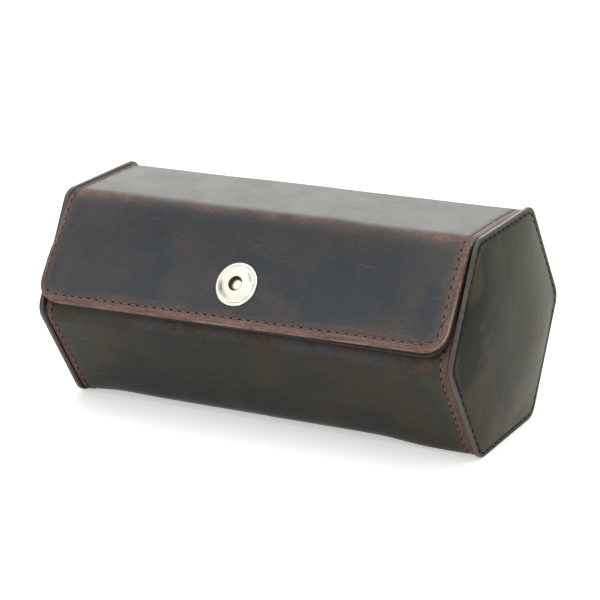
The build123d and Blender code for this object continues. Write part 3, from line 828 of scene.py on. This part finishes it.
wrap_seam = seam_on_wall(
    "wrap_seam", wrap_line, 0.0, wrap_line["length"] - stitch_inset, wrap_seam_middle, wrap_seam_half,
    wrap_seam_corner, as_laid, undented)
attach(wrap_seam, "case")
lid_seam = seam_on_wall(
    "lid_seam", lid_line, lid_length, stitch_inset, lid_seam_middle, lid_seam_half, lid_seam_corner,
    lid_seam_lay, lap_dent)
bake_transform(lid_seam)

end_seam_line, _ = closed_line(inset_corners(hexagon, end_inset) + end_shift, panel_corner - end_inset)
end_seam_length = end_seam_line["length"]
end_seam_count = int(round(end_seam_length / black_pitch))
for name, sign in (("left", -1), ("right", 1)):

    def at(along, aside, lift):
        """The outline's place in the section, raised by lift over the panel's pressed face."""
        y, z = on_line(end_seam_line, along, aside)
        return np.stack(np.broadcast_arrays(sign * (end_seat + pillow_face(end_inset) + lift), y, z), axis=-1)

    end_seam = seam(
        f"{name}_end_seam", at, end_seam_length, end_seam_count, black_thread, thick=0.4, rise=0.08, gap=1.6,
        slant=0.25 * sign, hole=(0.34, 0.34))
    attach(end_seam, "case")

# ---- Press stud ----
# Pale brass. On the flap a dished cap ring with a rolled rim, a domed rivet in its hole and a socket
# inside, over a steel magnet in the board; on the lip the stud that the socket takes, and its plate.
snap_x, neck = -2.8, 2.7
lid_seat, lid_out = (-40.887, 61.931), (-0.81106, 0.58496)
lip_seat, lip_out = (-35.696, 58.187), (-0.764604, 0.6445)
brass_finish, shader, place = new_finish("brass_finish", Metallic=1.0)
cloud, fine = noise(place, 130, 3), noise(place, 2400, 3)
# Where the ring value is high the brass is painted dark: painted reflections of dark surroundings in four arcs,
# and painted shade in the hole, the groove by the rim and round the outer edge.
painted_dark_share = joined("MULTIPLY", mesh_value(place, "ring"), rescale(cloud, 0.36, 0.56, 0.1, 1.25))
tone = two_tones(joined("MINIMUM", painted_dark_share, 1.0), (0.97, 0.965, 0.86), (0.25, 0.25, 0.17))
polish = rescale(fine, 0.3, 0.7, 0.16, 0.28)
feed(shader, {"Base Color": tone, "Roughness": polish, "Normal": raised(fine, 0.15, 0.00005)})


def turned(name, seat, outward, profile, around=64):
    """A turned part: radius and height of its profile carried round the seat's axis. A profile that starts and
    ends on the axis is capped there; any other is a ring and joins end to start. The ring value, where the brass
    is painted dark, is high in four arcs near 6.3 mm, painted reflections of dark surroundings, and in rings of
    painted shade: the hole and the rivet's rim, the groove inside the rolled rim, and the outer edge."""
    radius, rise = np.array(profile, float).T
    outward = np.array([0, *outward])
    sideways = np.cross(outward, [1, 0, 0])
    angle = np.linspace(0, 2 * np.pi, around, endpoint=False)
    spokes = np.cos(angle)[:, None] * np.array([1.0, 0, 0]) + np.sin(angle)[:, None] * sideways
    rings = np.array([snap_x, *seat]) + radius[:, None, None] * spokes + rise[:, None, None] * outward
    # Four arcs of painted reflection on the dish.
    arcs = 0.1 + 0.9 * np.clip(np.sin(2 * angle + 0.5), 0, 1)
    # Painted shade in the hole and on the rivet's rim, in the groove inside the rolled rim, and round the outer
    # edge.
    painted_shade_rings = 1.3 * (np.abs(radius - 2.35) < 0.6) + 0.8 * (np.abs(radius - 7.5) < 0.12) + 0.6 * (radius > 8.5)
    painted_dark = np.maximum(bell(radius - 6.3, 1.0)[:, None] * arcs, painted_shade_rings[:, None])
    if radius[0] > 0.5:
        faces = [grid_quads(len(radius), around, round_rows=True, round_columns=True)]
        return make_piece(name, rings, faces, [brass_finish], None, {"ring": painted_dark}, 60)
    return capped_rings(name, rings, [brass_finish], None, {"ring": np.r_[painted_dark.ravel(), 0, 0]}, 60)


dome = [(r, 1.9 - (r - 2.9) ** 2 / 19.5) for r in np.linspace(3.6, 7.25, 9)]
cap = turned("cap_ring", lid_seat, lid_out, [
    (2.9, -neck), (2.9, 1.5), (2.95, 1.74), (3.08, 1.86), (3.3, 1.9), *dome, (7.4, 0.82), (7.5, 0.74),
    (7.65, 0.74), (7.85, 0.8), (8.1, 0.84), (8.35, 0.8), (8.6, 0.66), (8.75, 0.45), (8.8, 0.2), (8.65, 0.0),
    (3.6, -0.02), (3.6, -neck)])
rivet = turned("cap_rivet", lid_seat, lid_out, [
    (0.05, -neck), (2.7, -neck), (2.75, -0.9), (2.72, -0.5), (2.55, -0.2), (2.2, 0.0), (1.6, 0.12),
    (0.8, 0.18), (0.05, 0.2)])
socket = turned("press_socket", lid_seat, lid_out, [
    (2.9, -4.8), (2.9, -3.2), (0.6, -3.2), (0.6, -2.72), (3.5, -2.72), (3.6, -4.0), (3.75, -4.12),
    (5.2, -4.15), (5.45, -4.3), (5.5, -4.5), (5.4, -4.7), (5.1, -4.82), (4.4, -4.72), (3.7, -4.85),
    (3.3, -4.98), (3.0, -4.93)])
stud = turned("press_stud", lip_seat, lip_out, [
    (0.05, -wall), (1.6, -wall), (1.6, 0.0), (4.8, 0.0), (5.0, 0.15), (5.0, 0.35), (4.85, 0.5), (4.4, 0.6),
    (3.2, 0.55), (2.4, 0.6), (2.0, 0.8), (1.95, 1.1), (2.1, 1.45), (2.2, 1.8), (2.1, 2.15), (1.7, 2.4),
    (1.0, 2.5), (0.05, 2.52)])
plate = [(0.05, 0), (4.3, 0), (4.5, 0.15), (4.5, 0.4), (4.3, 0.65), (3.8, 0.8), (2.0, 0.78), (1.7, 0.72),
         (1.2, 0.76), (0.05, 0.78)]
stud_plate = turned("press_stud_plate", lip_seat, lip_out, [(out, -wall - under) for out, under in plate])
for piece, node, body in (
        (cap, "snap_cap", "lid"), (rivet, "snap_rivet", "lid"), (socket, "snap_socket", "lid"),
        (stud, "snap_stud", "case"), (stud_plate, "snap_stud_back", "case")):
    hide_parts(node)
    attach(piece, body)
magnet_finish, shader, place = new_finish("magnet_finish", Metallic=1.0, Roughness=0.35)
feed(shader, {"Base Color": two_tones(noise(place, 900, 3), (0.45, 0.45, 0.46), (0.62, 0.62, 0.63))})
refinish("snap_magnet", magnet_finish)

# ---- Dividers ----
# A board in a turned cover of the lining's suede, 3.1 mm thick, glued to the lining all round its
# foot. The top edge is scooped, so that a watch can be taken hold of.
divider_top, scoop = 63.0, 9.0
divider = board + 2 * lining
pitch = (2 * inner_half - 2 * divider) / 3 + divider
room = inset_corners(chamber, wall)
# How far a ring lies inside the outline and how far past the divider's middle, from face to face.
edge_steps = [(1.6, 1.55), (0.9, 1.54), (0.45, 1.43), (0.15, 1.12), (0.0, 0.6)]
face_centre, face_shares = np.array([0.0, 30.0]), (0.05, 0.35, 0.7, 0.92)


def at_height(a, b, z):
    """Where the line from a to b passes height z."""
    return a + (b - a) * ((z - a[1]) / (b[1] - a[1]))


front_top, rear_top = at_height(room[5], room[0], divider_top), at_height(room[2], room[1], divider_top)
foot = bent_line([rear_top, *room[2:], front_top], bend_radius - wall)
foot_points = brought_in((foot, line_spots(foot, 3.0, 0.7)))
# The scoop is an arc whose radius is (chord squared / 4 + scoop squared) / (2 scoop).
chord = (rear_top - front_top)[0]
swing = (chord**2 / 4 + scoop**2) / (2 * scoop)
sweep = np.arcsin(chord / 2 / swing)
angle = np.linspace(-sweep, sweep, 40)[1:-1]
swing_centre = (front_top + rear_top) / 2 + [0, swing - scoop]
scoop_points = swing_centre + swing * np.column_stack([np.sin(angle), -np.cos(angle)])
divider_outline = np.vstack([foot_points, scoop_points])
ahead = np.roll(divider_outline, -1, axis=0) - np.roll(divider_outline, 1, axis=0)
divider_inward = np.column_stack([ahead[:, 1], -ahead[:, 0]]) / np.hypot(*ahead.T)[:, None]
for name, sign in (("left", -1), ("right", 1)):
    steps = [(divider_outline + divider_inward * inset, x) for inset, x in edge_steps]
    widest = steps[0][0]
    steps = [(shrunk(widest, face_centre, share), 1.55 + 0.08 * (1 - share)) for share in face_shares] + steps
    steps = [(outline, -x) for outline, x in steps] + steps[::-1]
    rings = [slice_at(sign * pitch / 2 + x, outline) for outline, x in steps]
    cover = capped_rings(f"{name}_divider_suede", rings, [lining_finish])
    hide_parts(f"{name}_divider_cover")
    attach(cover, "case")

# ---- Cushions ----
# Three loose oval cushions of foam in soft suede, one to a compartment, with a piped seam round each
# end. A watch is buckled round the cushion and the two lift out together.
cushion_finish = suede("cushion_finish", (0.25, 0.155, 0.088), (0.17, 0.10, 0.055), 1.2)
piping_finish = suede("piping_finish", (0.12, 0.068, 0.037), (0.08, 0.045, 0.025), 0.8)
half_height, half_width, round_side = 22.0, 31.36, 16.0
cushion_z = wall + 0.3 + half_height
cushion_half = (pitch - divider - 2.4) / 2
end_steps = [(1.2, 14.0), (1.3, 7.0), (1.9, 3.6), (3.2, 2.3)]
around, piping_sides, piping_radius, piping_inset, piping_sunk, ray_oval = 72, 8, 0.75, 3.4, 0.25, 9.0
cloth_steps, swell_limit = 20, 1.9


def oval(facing, depth):
    """An oval of four arcs by the direction it faces: the sides 16 mm in radius, the crowns flatter,
    all brought in by depth. Each arc is its middle plus its radius in that direction."""
    reach, rise = half_width - round_side, half_height - round_side
    drop = (reach**2 - rise**2) / (2 * rise)
    flat = np.abs(np.cos(facing)) < np.cos(np.arctan2(drop, reach))
    radius = np.where(flat, half_height + drop, round_side) - depth
    y = np.where(flat, 0, np.sign(np.cos(facing)) * reach) + radius * np.cos(facing)
    z = np.where(flat, -np.sign(np.sin(facing)) * drop, 0) + radius * np.sin(facing)
    return y, z


def as_shown(piece):
    """A piece's mesh with its modifiers worked in."""
    return bpy.data.meshes.new_from_object(piece.evaluated_get(bpy.context.evaluated_depsgraph_get()))


def puff(piece, limit):
    """Lets the cover swell as cloth under air pressure for 20 steps, no point by more than limit."""
    remesh = piece.modifiers.new("even", "REMESH")
    remesh.mode, remesh.voxel_size = "VOXEL", 0.0021
    piece.data = as_shown(piece)
    piece.modifiers.clear()
    before = read(piece.data.vertices, "co", 3)
    cloth = piece.modifiers.new("air", "CLOTH")
    cloth.settings.quality = 6
    cloth.settings.mass = 0.3
    cloth.settings.tension_stiffness = cloth.settings.compression_stiffness = 12
    cloth.settings.bending_stiffness = 0.6
    cloth.settings.use_pressure = True
    cloth.settings.uniform_pressure_force = 4
    cloth.settings.effector_weights.gravity = 0
    cloth.point_cache.frame_start, cloth.point_cache.frame_end = 1, cloth_steps
    for step in range(1, cloth_steps + 1):
        scene.frame_set(step)
    move = read(as_shown(piece).vertices, "co", 3) - before
    piece.modifiers.clear()
    scene.frame_set(1)
    move *= np.minimum(1, limit / 1000 / np.maximum(np.linalg.norm(move, axis=1)[:, None], 1e-9))
    piece.data.vertices.foreach_set("co", (before + move).ravel())
    piece.data.polygons.foreach_set("use_smooth", np.ones(len(piece.data.polygons), bool))
    piece.data.update()
    extra = piece.modifiers.new("fine", "SUBSURF")
    extra.levels = extra.render_levels = 1


facing = np.linspace(0, 2 * np.pi, around, endpoint=False)
spin = np.radians(np.arange(0, 360, 360 // piping_sides))[None, :, None]
for number, name in enumerate(("left", "middle", "right")):
    x0 = (number - 1) * pitch
    steps = [(step - cushion_half, depth) for step, depth in end_steps]
    flat_part = np.linspace(6 - cushion_half, cushion_half - 6, 15)
    steps += [(x, 1.9 + 0.5 * (x / cushion_half) ** 4) for x in flat_part]
    steps += [(-x, depth) for x, depth in steps[3::-1]]
    rings = np.array([slice_at(x0 + x, np.column_stack(oval(facing, depth))) for x, depth in steps])
    dents = 0.35 * np.sin(rings[:, :, 0] / (5.0 + number) + 3 * facing[None, :] + 2 * number)
    rings[:, :, 1:] *= (1 - (np.abs(dents) / 32))[:, :, None]
    rings[:, :, 2] += cushion_z
    cushion = capped_rings(f"{name}_cushion", rings, [cushion_finish], sharp=180)
    puff(cushion, swell_limit)
    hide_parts(f"{name}_cushion_cover", f"{name}_cushion_core")
    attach(cushion, f"{name}_cushion")
    bpy.context.view_layer.update()
    skin = BVHTree.FromObject(cushion, bpy.context.evaluated_depsgraph_get())
    for end, sign in (("left", -1), ("right", 1)):
        # The piping lies on the cover: from the cushion's middle line, rays go out to where they meet it.
        x = x0 + sign * (cushion_half - piping_inset)
        ways = [Vector((0, y, z)).normalized() for y, z in zip(*oval(facing, ray_oval))]
        start = Vector((x / 1000, 0, cushion_z / 1000))
        hits = np.array([skin.ray_cast(start, way)[0] for way in ways]) * 1000
        path = hits - np.array(ways) * piping_sunk
        out = path - np.array([x, 0, cushion_z])
        out /= np.linalg.norm(out, axis=1)[:, None]
        spokes = np.cos(spin) * out[:, None] + np.sin(spin) * np.array([1.0, 0, 0])
        tube = path[:, None] + piping_radius * spokes
        quads = grid_quads(around, piping_sides, round_rows=True, round_columns=True)
        piping = make_piece(f"{name}_cushion_piping_{end}", tube, [quads], [piping_finish], sharp=180)
        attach(piping, f"{name}_cushion")

# ---- Floor, lamps and sky ----
# Plain white paper under the case, a soft box low behind it, a wide one above, and an even sky. Paper
# and sky look brighter to the lens, and in gloss or glass, than the light they give.
def seen_directly(near):
    """1 for rays from the camera and for those that gloss or glass sends on, else 0: their greatest."""
    rays = put(near, "LightPath").outputs
    return joined("MAXIMUM", rays["Is Camera Ray"], rays["Is Glossy Ray"], rays["Is Transmission Ray"])


paper, shader, place = new_finish(
    "paper", Roughness=0.9, Base_Color=(0.86, 0.86, 0.86), Emission_Color=(1, 1, 1))
feed(shader, {"Emission Strength": joined("MULTIPLY", seen_directly(place), 0.48)})
floor_half = 3000
floor_corners = [(x * floor_half, y * floor_half, 0) for x, y in ((-1, -1), (1, -1), (1, 1), (-1, 1))]
floor = make_piece("floor", floor_corners, [np.array([[0, 1, 2, 3]])], [paper])


def soft_box(name, place, size, power):
    """A rectangular lamp that looks at the middle of the case."""
    lamp = bpy.data.lights.new(name, "AREA")
    lamp.shape, lamp.size, lamp.size_y, lamp.energy = "RECTANGLE", *size, power
    box = bpy.data.objects.new(name, lamp)
    scene.collection.objects.link(box)
    box.location = place
    box.rotation_mode = "QUATERNION"
    box.rotation_quaternion = (Vector((0, 0, 0.04)) - Vector(place)).to_track_quat("-Z", "Y")


soft_box("lamp_behind", (-0.75, 1.35, 0.75), (1.8, 0.9), 11)
soft_box("lamp_above", (0.3, -0.4, 1.8), (1.6, 1.6), 16)
sky = bpy.data.worlds.new("sky")
scene.world = sky
sky.use_nodes = True
sky_range = {"Value": seen_directly(sky.node_tree), 3: 0.7, 4: 1.0}
sky_strength = put(sky.node_tree, "MapRange", sky_range).outputs[0]
feed(sky.node_tree.nodes["Background"], {"Color": (1, 1, 1), "Strength": sky_strength})
